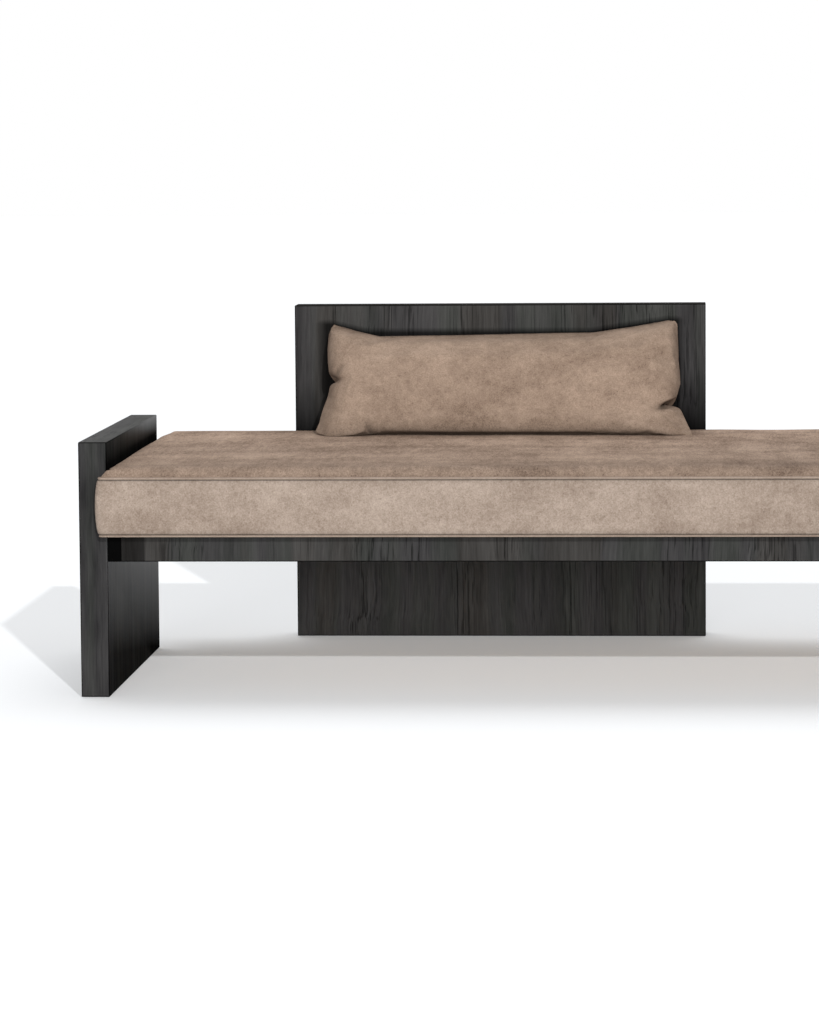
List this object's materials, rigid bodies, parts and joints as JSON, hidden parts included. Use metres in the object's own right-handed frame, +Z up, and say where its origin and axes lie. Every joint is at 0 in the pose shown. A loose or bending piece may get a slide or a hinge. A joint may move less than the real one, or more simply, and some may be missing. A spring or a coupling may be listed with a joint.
{
  "type": "leather daybed bench",
  "caption": "Low daybed bench: dark oak end panels and back slab, slim platform, loose piped leather mattress and a lumbar pillow.",
  "frame": {"origin": "on the floor, under the middle of the bench's outline", "axes": "+X along the bench, to the right seen from the front; +Y towards the back panel; +Z up"},
  "size_m": [2.1, 0.973, 0.65],
  "materials": {
    "stained_oak": "charcoal-stained open-pore oak veneer, satin",
    "black_section": "matt black powder coat",
    "black_caps": "matt black",
    "beam_metal": "matt black powder coat",
    "plywood": "sanded birch plywood",
    "fastener_steel": "zinc-plated",
    "insert_brass": "turned",
    "glide_plastic": "matt",
    "seat_leather": "taupe nubuck, clouded",
    "piping_leather": "taupe nubuck over cord",
    "seat_underside": "plain woven lining",
    "wadding": "polyester wadding",
    "foam": "cut foam",
    "zip_tape": "woven tape with closed chain",
    "zip_metal": "burnished",
    "pillow_leather": "taupe nubuck, clouded"
  },
  "bodies": {
    "bench_frame": {"left_end_panel": "stained_oak", "right_end_panel": "stained_oak", "back_panel": "stained_oak", "front_fascia": "stained_oak", "rear_fascia": "stained_oak", "left_side_section": "black_section", "right_side_section": "black_section", "section_caps": "black_caps", "front_beam": "beam_metal", "rear_beam": "beam_metal", "cross_beam_1": "beam_metal", "cross_beam_2": "beam_metal", "cross_beam_3": "beam_metal", "cross_beam_4": "beam_metal", "deck_board": "plywood", "deck_screws": "fastener_steel", "fascia_screws": "fastener_steel", "end_bolts": "fastener_steel", "end_washers": "fastener_steel", "end_inserts": "insert_brass", "back_bolts": "fastener_steel", "back_washers": "fastener_steel", "back_inserts": "insert_brass", "end_panel_glides": "glide_plastic", "back_panel_glides": "glide_plastic"},
    "seat_mattress": {"seat_top_panel": "seat_leather", "seat_border": "seat_leather", "seat_bottom_panel": "seat_underside", "seat_wadding": "wadding", "seat_foam_block": "foam", "seat_top_piping": "piping_leather", "seat_bottom_piping": "piping_leather", "seat_zip": "zip_tape", "seat_zip_slider": "zip_metal"},
    "lumbar_pillow": {"pillow_front_panel": "pillow_leather", "pillow_back_panel": "pillow_leather", "pillow_filling": "wadding"}
  },
  "joints": [
    {"name": "mattress_lift", "type": "slide", "parent": "bench_frame", "child": "seat_mattress", "axis": [0, 0, 1], "range_m": [0, 0.25]},
    {"name": "pillow_lift", "type": "slide", "parent": "seat_mattress", "child": "lumbar_pillow", "axis": [0, 0, 1], "range_m": [0, 0.25]}
  ]
}
